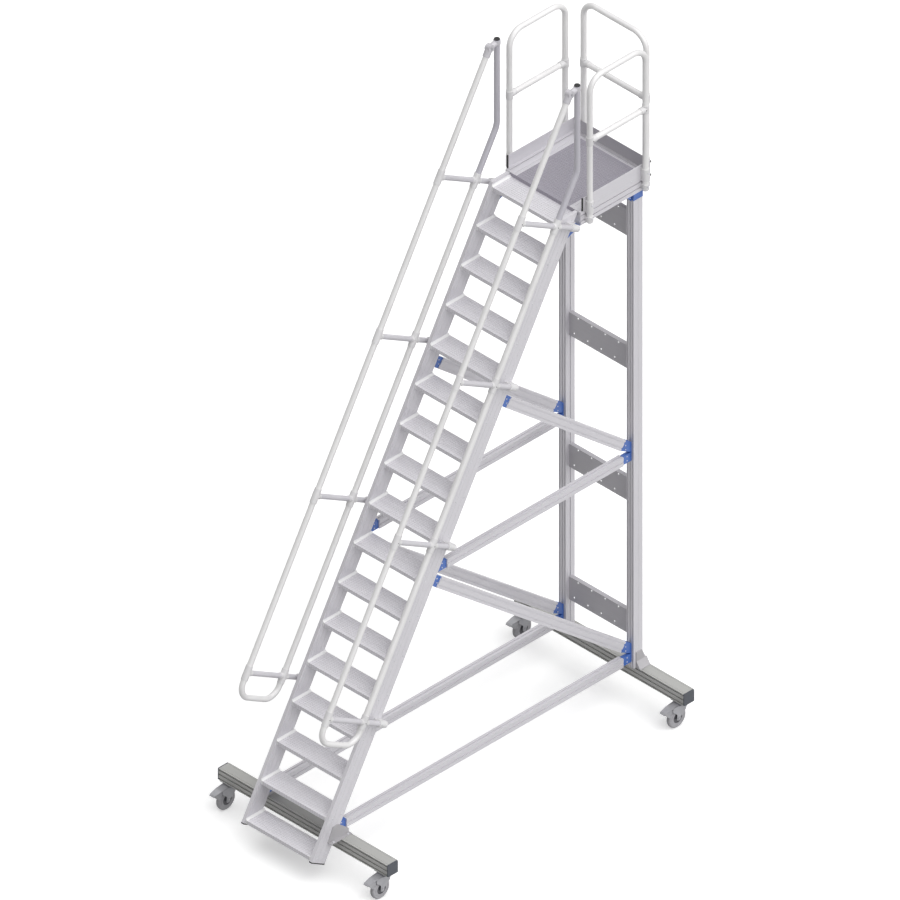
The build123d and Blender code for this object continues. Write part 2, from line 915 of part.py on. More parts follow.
def caster_top_plates():
    """Bolted plates under the beam ends, each with the upper ball race."""
    race_low = beam_bottom - plate_wall - race_height
    plate = Pos(0, 0, beam_bottom - plate_wall / 2) * Box(plate_length, plate_width, plate_wall)
    plate += Pos(0, 0, race_low) * extrude(Circle(race_radius), race_height)
    return [Pos(sign * caster_x, y, 0) * plate for end, y in ends for side, sign in sides]


def fork():
    """Crown disc with two legs that taper down to the axle."""
    crown = Pos(0, 0, crown_low) * extrude(Circle(fork_crown_radius), fork_crown_wall)
    boss = Pos(-caster_trail, wheel_radius) * Circle(fork_boss)
    head = Pos(0, (crown_low + crown_top) / 2) * Rectangle(fork_head_width, fork_crown_wall)
    outline = make_hull(boss.edges() + head.edges())
    outline -= Pos(-caster_trail, wheel_radius) * Circle(axle_radius)
    body = crown
    for x in (fork_inner, -fork_inner - fork_wall):
        body += extrude(side_plane(x) * outline, fork_wall)
    return body


def axle():
    """Bolt through fork and hub, with a hexagon at each end."""
    half = fork_inner + fork_wall
    place = Pos(-caster_trail, wheel_radius)
    bar = extrude(side_plane(-half) * (place * Circle(axle_radius)), 2 * half)
    head = place * RegularPolygon(axle_head_radius, 6)
    for x in (half, -half - axle_head):
        bar += extrude(side_plane(x) * head, axle_head)
    return bar


def pedal():
    """Foot pedal: broad at the crown, bent down and narrower over the wheel."""
    centre = crown_top - pedal_wall / 2
    line = Polyline(
        (0, centre),
        (-pedal_bend, centre),
        (-pedal_reach + pedal_lip, centre - pedal_drop),
        (-pedal_reach, centre - pedal_drop - pedal_lip),
    )
    face = make_face(offset(line, pedal_wall / 2, side=Side.BOTH).edges())
    strip = extrude(side_plane(-pedal_root_width / 2) * face, pedal_root_width)
    plan = make_face(
        Polyline(
            (-pedal_root_width / 2, 0),
            (pedal_root_width / 2, 0),
            (pedal_width / 2, -pedal_reach - pedal_wall),
            (-pedal_width / 2, -pedal_reach - pedal_wall),
            close=True,
        )
    )
    body = strip & extrude(plan, beam_bottom)
    return body - extrude(Circle(fork_crown_radius), beam_bottom) - fork()


def wheel_turn(section):
    """Turn a section (local X along the axle, local Y outward) about the axle."""
    plane = Plane(origin=(0, -caster_trail, wheel_radius), x_dir=(1, 0, 0), z_dir=(0, -1, 0))
    return revolve(plane * section, Axis((0, -caster_trail, wheel_radius), (1, 0, 0)))


def tyre():
    """Wheel body with a rounded tread and a fine ring where the rim ends."""
    up = (Align.CENTER, Align.MIN)
    band = Pos(0, hub_radius) * Rectangle(wheel_width, wheel_radius - hub_radius, align=up)
    band = fillet(band.vertices().group_by(Axis.Y)[-1], tread_round)
    for sign in (-1, 1):
        x = sign * (wheel_width - rim_groove_depth) / 2
        band -= Pos(x, rim_groove_radius) * Rectangle(rim_groove_depth, rim_groove)
    return wheel_turn(band)


def hub():
    """Dark hub: a disc inside the wheel body and a barrel out to the fork."""
    bore = axle_radius + axle_clearance
    up = (Align.CENTER, Align.MIN)
    barrel = Pos(0, bore) * Rectangle(2 * (fork_inner - hub_end_gap), hub_barrel - bore, align=up)
    disc = Pos(0, bore) * Rectangle(wheel_width - 2 * hub_recess, hub_radius - bore, align=up)
    return wheel_turn(barrel + disc)


def centred(shape):
    """Move a piece, or a list of like pieces, into the part's frame."""
    if isinstance(shape, list):
        shape = Compound(children=shape)
    return shape.moved(Location((0, -middle, 0)))


def build():
    nodes = {
        "chassis_beam_front": chassis_beam(0.0),
        "chassis_beam_rear": chassis_beam(wheelbase),
        "beam_end_caps": beam_end_caps(),
        "stringer_foot_caps": stringer_foot_caps(),
        "treads": treads(),
        "platform_cross_beams": platform_cross_beams(),
        "platform_deck": platform_deck(),
        "toe_board_rear": toe_board_rear(),
        "guard_rear": guard_rear(),
        "guard_mid_rails": guard_mid_rails(),
        "guard_fittings": guard_fittings(),
        "guard_clamps": guard_clamps(),
        "cross_plates": cross_plate_set(),
        "level_braces": level_braces(),
        "diagonal_braces": diagonal_braces(),
        "end_shoes": end_shoes(),
        "platform_shoes": platform_shoes(),
        "foot_brackets": foot_brackets(),
        "rail_arms": rail_arms(),
        "rail_fittings": rail_fittings(),
        "arm_feet": arm_feet(),
        "rail_elbows": rail_elbows(),
        "rail_caps": rail_caps(),
        "caster_top_plates": caster_top_plates(),
    }
    wheel_parts = {
        "caster_fork": fork(),
        "caster_axle": axle(),
        "brake_pedal": pedal(),
        "wheel_hub": hub(),
        "wheel_tyre": tyre(),
    }
    for side, sign in sides:
        nodes[f"stringer_{side}"] = stringer(sign)
        nodes[f"platform_side_{side}"] = platform_side(sign)
        nodes[f"toe_board_{side}"] = toe_board_side(sign)
        nodes[f"guard_{side}"] = guard_side(sign)
        nodes[f"rear_post_{side}"] = rear_post(sign)
        nodes[f"handrail_{side}"] = handrail(sign)
        nodes[f"knee_rail_{side}"] = knee_rail(sign)
        for end, y in ends:
            for name, piece in wheel_parts.items():
                nodes[f"{name}_{end}_{side}"] = Pos(sign * caster_x, y, 0) * piece
    return nodes


os.makedirs("parts", exist_ok=True)
for node, shape in build().items():
    export_step(centred(shape), f"parts/{node}.step")
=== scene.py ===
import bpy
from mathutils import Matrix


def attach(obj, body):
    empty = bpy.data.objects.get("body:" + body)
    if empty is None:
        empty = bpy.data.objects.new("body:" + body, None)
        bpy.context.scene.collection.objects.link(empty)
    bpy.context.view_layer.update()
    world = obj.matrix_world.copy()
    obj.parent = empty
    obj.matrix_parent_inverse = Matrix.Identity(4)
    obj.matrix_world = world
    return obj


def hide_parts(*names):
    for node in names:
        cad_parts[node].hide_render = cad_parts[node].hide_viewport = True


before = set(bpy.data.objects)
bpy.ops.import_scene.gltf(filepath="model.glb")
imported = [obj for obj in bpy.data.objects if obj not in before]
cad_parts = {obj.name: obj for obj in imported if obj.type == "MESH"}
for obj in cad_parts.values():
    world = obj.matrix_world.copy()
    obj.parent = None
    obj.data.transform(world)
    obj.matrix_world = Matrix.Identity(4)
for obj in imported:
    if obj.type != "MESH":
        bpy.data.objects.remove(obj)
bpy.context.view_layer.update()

from math import copysign, cos, pi, radians, sin

import bmesh
import bpy
from mathutils import Matrix, Vector

# Mobile platform stairs: the finish of every aluminium section, tube, fitting
# and caster, with the bolts, rivets and trim that hold them together.
# Pieces are drawn in millimetres, with Y from the middle of the front beam,
# which lies MIDDLE in front of the machine's middle.
MM = 0.001
MIDDLE = 1239.5
X, Y, Z = range(3)


# Colour and node helpers

def linear(code):
    """sRGB hex to a linear colour with full alpha."""
    channels = [int(code[i:i + 2], 16) / 255 for i in (1, 3, 5)]
    channels = [c / 12.92 if c <= 0.04045 else ((c + 0.055) / 1.055) ** 2.4 for c in channels]
    return (*channels, 1.0)


def add_node(tree, kind, settings=None, links=None):
    """Add a node, set its sockets and properties, and link its inputs."""
    added = tree.nodes.new(kind)
    for key, value in (settings or {}).items():
        if isinstance(key, int) or key in added.inputs:
            added.inputs[key].default_value = value
        else:
            setattr(added, key, value)
    for key, source in (links or {}).items():
        tree.links.new(source, added.inputs[key])
    return added


def new_material(name):
    """An empty node material and its tree."""
    material = bpy.data.materials.new(name)
    material.use_nodes = True
    material.node_tree.nodes.clear()
    return material, material.node_tree


def close_surface(tree, settings, colour, roughness, grain, strength, depth_mm):
    """Bring colour, roughness and a relief of the grain's depth to the shader and the output."""
    relief = add_node(
        tree,
        "ShaderNodeBump",
        {"Strength": strength, "Distance": depth_mm * MM},
        {"Height": grain},
    )
    surface = add_node(
        tree,
        "ShaderNodeBsdfPrincipled",
        settings,
        {"Base Color": colour, "Roughness": roughness, "Normal": relief.outputs["Normal"]},
    )
    add_node(tree, "ShaderNodeOutputMaterial", {}, {"Surface": surface.outputs["BSDF"]})


# Finishes

CLOUD_MM = 420
ARRIS_MM = 2.0
# Bright tone of the painted highlights on every edge and on the steps' ends, and of rubbing wear on the
# edges.
HIGHLIGHT_AND_RUBBED_BRIGHT = "#F6F6F6"
PLASTIC_IOR = 1.5


def metal(name, pale, deep, streak_mm, along, metallic, roughness, bump_mm, ends=None, teeth=None):
    """Aluminium with die, brush or rolling lines.

    pale and deep are the two ends of the slow cloudiness left by the bath,
    CLOUD_MM its size. streak_mm is the pitch of the lines, drawn coarser than
    real ones so that they show, and along is the turn that lays them down the
    section's length. Every edge is brighter, in part a painted highlight and in
    part wear from hands and shoes. ends is the half width, in millimetres,
    beyond which a step's ends are painted bright as a highlight. teeth is the
    pitch across a step of the fine teeth on its ribs, drawn as bands coarse
    enough to show.
    """
    material, tree = new_material(name)
    place = add_node(tree, "ShaderNodeTexCoord")
    laid = add_node(tree, "ShaderNodeMapping", {"Rotation": along}, {"Vector": place.outputs["Object"]})
    long_way = add_node(
        tree, "ShaderNodeMapping", {"Scale": (1.0, 0.01, 1.0)}, {"Vector": laid.outputs["Vector"]}
    )
    lines = add_node(
        tree,
        "ShaderNodeTexNoise",
        {"Scale": 1 / (streak_mm * MM), "Detail": 3.0, "Roughness": 0.6},
        {"Vector": long_way.outputs["Vector"]},
    )
    clouds = add_node(
        tree,
        "ShaderNodeTexNoise",
        {"Scale": 1 / (CLOUD_MM * MM), "Detail": 2.0, "Roughness": 0.5},
        {"Vector": place.outputs["Object"]},
    )
    tone = add_node(
        tree,
        "ShaderNodeMix",
        {"data_type": "RGBA", 6: linear(deep), 7: linear(pale)},
        {0: clouds.outputs["Fac"]},
    )
    lined = add_node(
        tree,
        "ShaderNodeMapRange",
        {"From Min": 0.3, "From Max": 0.7, "To Min": 0.965, "To Max": 1.02},
        {"Value": lines.outputs["Fac"]},
    )
    shaded = add_node(
        tree,
        "ShaderNodeVectorMath",
        {"operation": "SCALE"},
        {0: tone.outputs[2], "Scale": lined.outputs["Result"]},
    )
    if teeth:
        # A wave's period is a tenth of pi over its scale.
        bands = add_node(
            tree,
            "ShaderNodeTexWave",
            {"bands_direction": "X", "Scale": pi / 10 / (teeth * MM), "Distortion": 0.4, "Detail": 1.0},
            {"Vector": place.outputs["Object"]},
        )
        toothed = add_node(
            tree,
            "ShaderNodeMapRange",
            {"To Min": 0.94, "To Max": 1.03},
            {"Value": bands.outputs["Fac"]},
        )
        shaded = add_node(
            tree,
            "ShaderNodeVectorMath",
            {"operation": "SCALE"},
            {0: shaded.outputs["Vector"], "Scale": toothed.outputs["Result"]},
        )
    # Arrises painted brighter, in part as a painted highlight and in part as rubbing wear: where a rounded
    # normal leaves the true one.
    rounded = add_node(tree, "ShaderNodeBevel", {"samples": 4, "Radius": ARRIS_MM * MM})
    facing = add_node(tree, "ShaderNodeNewGeometry")
    turn = add_node(
        tree,
        "ShaderNodeVectorMath",
        {"operation": "DOT_PRODUCT"},
        {0: rounded.outputs["Normal"], 1: facing.outputs["Normal"]},
    )
    lit_and_rubbed_arris = add_node(
        tree,
        "ShaderNodeMapRange",
        {"From Min": 0.995, "From Max": 0.85, "To Min": 0.0, "To Max": 0.4},
        {"Value": turn.outputs["Value"]},
    )
    highlight_and_wear = lit_and_rubbed_arris.outputs["Result"]
    # Painted highlight: beyond the half width ends, a step is mixed toward the bright tone.
    if ends:
        split = add_node(tree, "ShaderNodeSeparateXYZ", {}, {"Vector": place.outputs["Object"]})
        across = add_node(tree, "ShaderNodeMath", {"operation": "ABSOLUTE"}, {0: split.outputs["X"]})
        end_highlight = add_node(
            tree,
            "ShaderNodeMapRange",
            {"From Min": (ends - 1) * MM, "From Max": (ends + 1) * MM, "To Max": 0.9},
            {"Value": across.outputs["Value"]},
        )
        highlight_and_wear = add_node(
            tree, "ShaderNodeMath", {"operation": "MAXIMUM"}, {0: highlight_and_wear, 1: end_highlight.outputs["Result"]}
        ).outputs["Value"]
    # Mix the painted highlight and rubbing wear into the colour.
    colour = add_node(
        tree,
        "ShaderNodeMix",
        {"data_type": "RGBA", 7: linear(HIGHLIGHT_AND_RUBBED_BRIGHT)},
        {0: highlight_and_wear, 6: shaded.outputs["Vector"]},
    )
    rough = add_node(
        tree,
        "ShaderNodeMapRange",
        {"From Min": 0.3, "From Max": 0.7, "To Min": roughness - 0.05, "To Max": roughness + 0.07},
        {"Value": lines.outputs["Fac"]},
    )
    close_surface(
        tree,
        {"Metallic": metallic},
        colour.outputs[2],
        rough.outputs["Result"],
        lines.outputs["Fac"],
        strength=0.2,
        depth_mm=bump_mm,
    )
    return material


def satin(name, base, handled, roughness, metallic=0.0, grain_mm=3.0, patch_mm=260.0, coat=0.0, upper=None):
    """A surface with no direction: drawn tube, casting, moulding, tread or powder coat.

    handled is the tone of the patches that hands, shoes or floors have dulled,
    patch_mm their size, and grain_mm the fine grain, drawn coarse enough to show.
    upper is the height in millimetres and the tone of a second length of tube
    that joins the first there.
    """
    material, tree = new_material(name)
    place = add_node(tree, "ShaderNodeTexCoord")
    grain = add_node(
        tree,
        "ShaderNodeTexNoise",
        {"Scale": 1 / (grain_mm * MM), "Detail": 2.0},
        {"Vector": place.outputs["Object"]},
    )
    patches = add_node(
        tree,
        "ShaderNodeTexNoise",
        {"Scale": 1 / (patch_mm * MM), "Detail": 4.0, "Roughness": 0.55},
        {"Vector": place.outputs["Object"]},
    )
    mask = add_node(
        tree,
        "ShaderNodeMapRange",
        {"From Min": 0.45, "From Max": 0.8},
        {"Value": patches.outputs["Fac"]},
    )
    tone = add_node(
        tree,
        "ShaderNodeMix",
        {"data_type": "RGBA", 6: linear(base), 7: linear(handled)},
        {0: mask.outputs["Result"]},
    ).outputs[2]
    if upper:
        split = add_node(tree, "ShaderNodeSeparateXYZ", {}, {"Vector": place.outputs["Object"]})
        above = add_node(
            tree,
            "ShaderNodeMapRange",
            {"From Min": (upper[0] - 1) * MM, "From Max": (upper[0] + 1) * MM},
            {"Value": split.outputs["Z"]},
        )
        tone = add_node(
            tree,
            "ShaderNodeMix",
            {"data_type": "RGBA", 7: linear(upper[1])},
            {0: above.outputs["Result"], 6: tone},
        ).outputs[2]
    rough = add_node(
        tree,
        "ShaderNodeMapRange",
        {"To Min": roughness - 0.05, "To Max": roughness + 0.1},
        {"Value": patches.outputs["Fac"]},
    )
    settings = {"Metallic": metallic, "Coat Weight": coat}
    if not metallic:
        settings["IOR"] = PLASTIC_IOR
    close_surface(
        tree,
        settings,
        tone,
        rough.outputs["Result"],
        grain.outputs["Fac"],
        strength=0.12,
        depth_mm=0.2,
    )
    return material


# Turns that lay the lines of a finish along a section.
ALONG_Y = (0.0, 0.0, 0.0)
ALONG_X = (0.0, 0.0, pi / 2)
ALONG_Z = (pi / 2, 0.0, 0.0)
SLOPE = radians(60.0)
UP_FLIGHT = (-SLOPE, 0.0, 0.0)
# Half the length of a step between its ends, which are painted bright as a highlight,
# and the top sleeve's height, where a second length of tube joins the knee rail.
STEP_END = 275.0
TOP_SLEEVE = 4064

finishes = {
    # Natural anodised extrusions: even silver grey, faint die lines down the length.
    "stringer": metal(
        "anodised_aluminium_stringer",
        "#DBD9DE",
        "#D6D4D9",
        streak_mm=14,
        along=UP_FLIGHT,
        metallic=0.15,
        roughness=0.42,
        bump_mm=0.2,
    ),
    "post": metal(
        "anodised_aluminium_post",
        "#D9D7DC",
        "#D4D2D7",
        streak_mm=14,
        along=ALONG_Z,
        metallic=0.15,
        roughness=0.42,
        bump_mm=0.2,
    ),
    "profile": metal(
        "anodised_aluminium_profile",
        "#D9D7DC",
        "#D4D2D7",
        streak_mm=14,
        along=ALONG_Y,
        metallic=0.15,
        roughness=0.42,
        bump_mm=0.2,
    ),
    # Mill finish chassis sections: warmer and duller.
    "beam": metal(
        "mill_finish_aluminium_beam",
        "#BABAB7",
        "#B0B0AD",
        streak_mm=16,
        along=ALONG_X,
        metallic=0.1,
        roughness=0.45,
        bump_mm=0.3,
    ),
    # Ribbed steps, a tone painted paler than the stringers' to make up for the shade of the steps above, with
    # painted highlights at their ends; and the darker deck.
    "tread": metal(
        "ribbed_aluminium_step",
        "#E8E6EB",
        "#E1DFE4",
        streak_mm=18,
        along=ALONG_X,
        metallic=0.08,
        roughness=0.48,
        bump_mm=0.3,
        ends=STEP_END,
        teeth=21,
    ),
    "deck": metal(
        "ribbed_aluminium_deck",
        "#A7A3AE",
        "#9F9BA6",
        streak_mm=18,
        along=ALONG_X,
        metallic=0.1,
        roughness=0.5,
        bump_mm=0.3,
        teeth=21,
    ),
    # Rolled sheet: greyer, a tone that paints in the shade of the sheets facing the front, with the rolling
    # lines across.
    "plate": metal(
        "rolled_aluminium_sheet",
        "#BEBCC1",
        "#B7B5BA",
        streak_mm=12,
        along=ALONG_X,
        metallic=0.05,
        roughness=0.45,
        bump_mm=0.2,
    ),
    # Drawn tube polished to satin: nearly white, soft highlights.
    "guard": satin(
        "drawn_aluminium_guard_tube", "#EFEEEE", "#E7E6E6", roughness=0.36, metallic=0.1, grain_mm=6
    ),
    "handrail": satin(
        "drawn_aluminium_handrail_tube", "#ECEBEB", "#E2E1E1", roughness=0.36, metallic=0.1, grain_mm=6
    ),
    # The upright and bend above the top sleeve are a second, greyer length.
    "knee_rail": satin(
        "drawn_aluminium_knee_rail_tube",
        "#ECEBEB",
        "#E2E1E1",
        roughness=0.36,
        metallic=0.1,
        grain_mm=6,
        upper=(TOP_SLEEVE, "#BFBDC5"),
    ),
    "arm": satin("drawn_aluminium_arm_tube", "#D3D1D6", "#C9C7CC", roughness=0.36, metallic=0.1, grain_mm=6),
    # Sand cast and tumbled fittings: a little darker than the tube, matt and grained.
    "fitting": satin(
        "cast_aluminium_fitting", "#E2E1E2", "#D6D5D6", roughness=0.5, metallic=0.1, grain_mm=4
    ),
    "elbow": satin(
        "cast_aluminium_elbow", "#CBC9CE", "#BDBBC0", roughness=0.5, metallic=0.1, grain_mm=4, patch_mm=60
    ),
    # Plain grey castings at the feet of the frame.
    "bracket": satin("cast_aluminium_foot", "#B3B1B4", "#A8A6A9", roughness=0.5, metallic=0.1, grain_mm=4),
    # Zinc plate on pressed steel, dulled by the floor it rolls over.
    "zinc": satin("zinc_plated_steel", "#ABABAF", "#9C9CA1", roughness=0.4, metallic=0.25, patch_mm=60),
    # Zinc plate on bolts and screws: brighter and glossier than on the casters.
    "bolt": satin(
        "zinc_plated_fastener", "#D2D2D6", "#C4C4C9", roughness=0.3, metallic=0.4, grain_mm=2, patch_mm=40
    ),
    # Oil blackened steel: nearly black with a dull gleam.
    "dark_bolt": satin(
        "blackened_steel_fastener", "#2C2A2D", "#3A383B", roughness=0.4, metallic=0.3, patch_mm=30
    ),
    # Pressed steel, rubbed dull by shoes.
    "pedal": satin("pressed_steel_pedal", "#A6A6AA", "#98989D", roughness=0.42, metallic=0.2, patch_mm=60),
    # Bright aluminium rivet heads, polished by the setting tool.
    "rivet": satin(
        "polished_aluminium_rivet", "#FAFAFA", "#F0F0F0", roughness=0.25, metallic=0.95, patch_mm=20
    ),
    # Moulded polyamide: soft sheen, fine spark texture.
    "cap": satin("moulded_black_polyamide", "#0D0C0E", "#171618", roughness=0.6, patch_mm=50),
    "beam_cap": satin("moulded_grey_polyamide", "#43474F", "#4F535B", roughness=0.45, patch_mm=70),
    "hub": satin("moulded_dark_polyamide", "#4B4B50", "#5C5C61", roughness=0.42, patch_mm=30),
    # Cast polyurethane tread: pale grey and matt, scuffed by floors.
    "tyre": satin(
        "grey_polyurethane_wheel", "#B4B3B7", "#A3A2A6", roughness=0.58, grain_mm=2.5, patch_mm=40
    ),
    # Blue powder coat: a soft gloss over fine orange peel.
    "shoe": satin("blue_powder_coat", "#4169B8", "#4F78C4", roughness=0.35, patch_mm=60, coat=0.15),
}

# Which finish each CAD piece takes, by the start of its name: the first that fits.
dressed = (
    ("chassis_beam", "beam"),
    ("beam_end_caps", "beam_cap"),
    ("stringer_foot_caps", "cap"),
    ("stringer", "stringer"),
    ("treads", "tread"),
    ("platform_deck", "deck"),
    ("platform_shoes", "shoe"),
    ("platform", "profile"),
    # The rear toe board takes the greyer sheet tone: painted shade of its front face.
    ("toe_board_rear", "plate"),
    ("toe_board", "profile"),
    ("guard_fittings", "fitting"),
    ("guard_clamps", "fitting"),
    ("guard", "guard"),
    ("rear_post", "post"),
    # The cross plates take it too: painted shade of their front faces.
    ("cross_plates", "plate"),
    ("level_braces", "profile"),
    ("diagonal_braces", "profile"),
    ("end_shoes", "shoe"),
    ("foot_brackets", "bracket"),
    ("rail_fittings", "fitting"),
    ("rail_elbows", "elbow"),
    ("rail_caps", "cap"),
    ("rail_arms", "arm"),
    ("arm_feet", "fitting"),
    ("handrail", "handrail"),
    ("knee_rail", "knee_rail"),
    ("caster_top_plates", "zinc"),
    ("caster_fork", "zinc"),
    ("caster_axle", "zinc"),
    ("brake_pedal", "pedal"),
    ("wheel_hub", "hub"),
    ("wheel_tyre", "tyre"),
)
for node_name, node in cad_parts.items():
    label = next(finish for start, finish in dressed if node_name.startswith(start))
    for held in node.material_slots:
        held.material = finishes[label]


# Places read from the CAD pieces

def box_of(points):
    """Lowest and highest corner of some points of the frame, in millimetres."""
    low = Vector([min(point[axis] for point in points) for axis in (X, Y, Z)])
    high = Vector([max(point[axis] for point in points) for axis in (X, Y, Z)])
    shift = Vector((0, MIDDLE, 0))
    return low / MM + shift, high / MM + shift


def whole_box(node):
    """Lowest and highest corner of a CAD node of the stairs, in millimetres."""
    return box_of([corner.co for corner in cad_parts[node].data.vertices])


def solid_boxes(node):
    """Lowest and highest corner of each solid in a CAD node, from the floor up."""
    shape = bmesh.new()
    shape.from_mesh(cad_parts[node].data)
    bmesh.ops.remove_doubles(shape, verts=shape.verts, dist=0.01 * MM)
    left = set(shape.verts)
    boxes = []
    while left:
        front = [left.pop()]
        found = []
        while front:
            corner = front.pop()
            found.append(corner.co.copy())
            for edge in corner.link_edges:
                other = edge.other_vert(corner)
                if other in left:
                    left.remove(other)
                    front.append(other)
        boxes.append(box_of(found))
    shape.free()
    return sorted(boxes, key=lambda box: (round(box[0].z), round(box[0].y), box[0].x))


BEAM_TOP = whole_box("chassis_beam_front")[1].z
STRINGER_OUTER = whole_box("stringer_right")[1].x
POST_OUTER = whole_box("rear_post_right")[1].x
TOE_BOARD = whole_box("toe_board_right")

# A caster's axle, from its swivel pin and the floor, and the fork's top.
AXLE_BEHIND = 47
AXLE_HEIGHT = 75
FORK_TOP = 172.7


# Helpers for fasteners and trim

def new_piece(name, shape, finish, body="stairs"):
    """Make a bmesh drawn in millimetres into a piece that rides on a body."""
    bmesh.ops.recalc_face_normals(shape, faces=shape.faces)
    bmesh.ops.transform(
        shape, matrix=Matrix.Scale(MM, 4) @ Matrix.Translation((0, -MIDDLE, 0)), verts=shape.verts
    )
    mesh = bpy.data.meshes.new(name)
    shape.to_mesh(mesh)
    shape.free()
    mesh.materials.append(finishes[finish])
    piece = bpy.data.objects.new(name, mesh)
    bpy.context.scene.collection.objects.link(piece)
    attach(piece, body)
    return piece


def rectangle(left, right, near, far):
    """The corner points of a rectangle."""
    return [(left, near), (right, near), (right, far), (left, far)]


def arc(middle, radius, first, step, count):
    """Points on an arc, from its first angle and its step in degrees."""
    angles = [radians(first + step * k) for k in range(count)]
    return [(middle[0] + radius * cos(angle), middle[1] + radius * sin(angle)) for angle in angles]


def turned(profile, sides):
    """A template mesh turned about Z from (radius, height) points."""
    shape = bmesh.new()
    rings = []
    for radius, height in profile:
        if radius == 0:
            rings.append([shape.verts.new((0, 0, height))])
        else:
            ring = arc((0, 0), radius, 0, 360 / sides, sides)
            rings.append([shape.verts.new((x, y, height)) for x, y in ring])
    for lower, upper in zip(rings, rings[1:]):
        for k in range(sides):
            after = (k + 1) % sides
            if len(lower) == 1:
                shape.faces.new((lower[0], upper[k], upper[after]))
            elif len(upper) == 1:
                shape.faces.new((lower[k], lower[after], upper[0]))
            else:
                shape.faces.new((lower[k], lower[after], upper[after], upper[k]))
    mesh = bpy.data.meshes.new("template")
    shape.to_mesh(mesh)
    shape.free()
    return mesh


def hex_head(across, height, washer):
    """Hexagon head with a chamfered top on a round washer."""
    corner = across / 2 / cos(pi / 6)
    washer_rise = height * 0.2
    chamfer_rise = height * 0.85
    head_profile = [
        (0, washer_rise),
        (corner, washer_rise),
        (corner, chamfer_rise),
        (corner * 0.86, height),
        (0, height),
    ]
    head = turned(head_profile, sides=6)
    plate = turned([(0, 0), (washer, 0), (washer, washer_rise), (0, washer_rise)], sides=20)
    shape = bmesh.new()
    shape.from_mesh(head)
    shape.from_mesh(plate)
    mesh = bpy.data.meshes.new("hex_head")
    shape.to_mesh(mesh)
    shape.free()
    return mesh


def domed_head(radius, height):
    """Low domed rivet or button head with a dimple in its middle."""
    steps = 4
    rim = radius * 0.34
    dimple = radius * 0.28
    dimple_floor = height * 0.6
    profile = [(0, 0), (radius, 0)]
    for k in range(1, steps):
        turn = pi / 2 * k / steps
        profile.append((radius * cos(turn), height * sin(turn)))
    profile += [(rim, height), (dimple, dimple_floor), (0, dimple_floor)]
    return turned(profile, sides=16)


def scatter(template, places):
    """The template at every place: (point, direction it faces)."""
    shape = bmesh.new()
    for point, towards in places:
        start = len(shape.verts)
        shape.from_mesh(template)
        shape.verts.ensure_lookup_table()
        turn = Vector(towards).to_track_quat("Z", "Y").to_matrix().to_4x4()
        bmesh.ops.transform(shape, matrix=Matrix.Translation(point) @ turn, verts=shape.verts[start:])
    return shape


def ring_faces(shape, lower, upper):
    """Faces between two rings of as many corners."""
    count = len(lower)
    for k in range(count):
        after = (k + 1) % count
        shape.faces.new((lower[k], upper[k], upper[after], lower[after]))


def extruded(shape, outline, start, end, axis):
    """Add a prism: outline points in the other two axes, from start to end along axis."""
    others = [k for k in (X, Y, Z) if k != axis]
    rings = []
    for level in (start, end):
        ring = []
        for a, b in outline:
            point = [0.0, 0.0, 0.0]
            point[axis] = level
            point[others[0]] = a
            point[others[1]] = b
            ring.append(shape.verts.new(point))
        rings.append(ring)
    shape.faces.new(rings[0])
    shape.faces.new(list(reversed(rings[1])))
    ring_faces(shape, rings[0], rings[1])


def soften(shape, width):
    """Round every sharp edge by a width in millimetres."""
    sharp_turn = 0.5
    bmesh.ops.recalc_face_normals(shape, faces=shape.faces)
    sharp = [edge for edge in shape.edges if edge.calc_face_angle(0) > sharp_turn]
    bmesh.ops.bevel(shape, geom=sharp, offset=width, segments=2, affect="EDGES", profile=0.5)


# Fasteners on the frame and the steps

def cross_plate_rivets():
    """Large rivet heads in two staggered rows on the cross plates' front faces."""
    pitch = 120
    upper_row = [-190 + pitch * k for k in range(4)]
    lower_row = [-225 + pitch * k for k in range(4)]
    below_top = 12
    above_foot = 34
    places = []
    for low, high in solid_boxes("cross_plates"):
        places += [((x, low.y, high.z - below_top), (0, -1, 0)) for x in upper_row]
        places += [((x, low.y, low.z + above_foot), (0, -1, 0)) for x in lower_row]
    return scatter(domed_head(radius=6, height=3), places)


def shoe_bolts():
    """Two low heads on both sides of every blue shoe."""
    # The pair stands upright on an end shoe and lies level on a platform shoe.
    pairs = (("end_shoes", Vector((0, 0, 16))), ("platform_shoes", Vector((0, 14, 0))))
    places = []
    for node, spread in pairs:
        for low, high in solid_boxes(node):
            middle = (low + high) / 2
            for point in (middle - spread, middle + spread):
                for x, way in ((low.x, -1), (high.x, 1)):
                    places.append(((x, point.y, point.z), (way, 0, 0)))
    return scatter(domed_head(radius=4.5, height=3), places)


def step_bolts():
    """Two heads through each stringer into every step's end plate."""
    behind_nosing = (35, 110)
    below_top = 26
    places = []
    for low, high in solid_boxes("treads"):
        for behind in behind_nosing:
            for way in (-1, 1):
                places.append(((way * STRINGER_OUTER, low.y + behind, high.z - below_top), (way, 0, 0)))
    return scatter(domed_head(radius=6, height=3.5), places)


# Fasteners and trim on the platform

def toe_board_screws():
    """Screws that hold the side toe boards to the platform's side beams."""
    low, high = TOE_BOARD
    above_beam = 12
    along = (2262, 2550)
    places = []
    for way in (-1, 1):
        for y in along:
            places.append(((way * high.x, y, low.z + above_beam), (way, 0, 0)))
    return scatter(domed_head(radius=6, height=3), places)


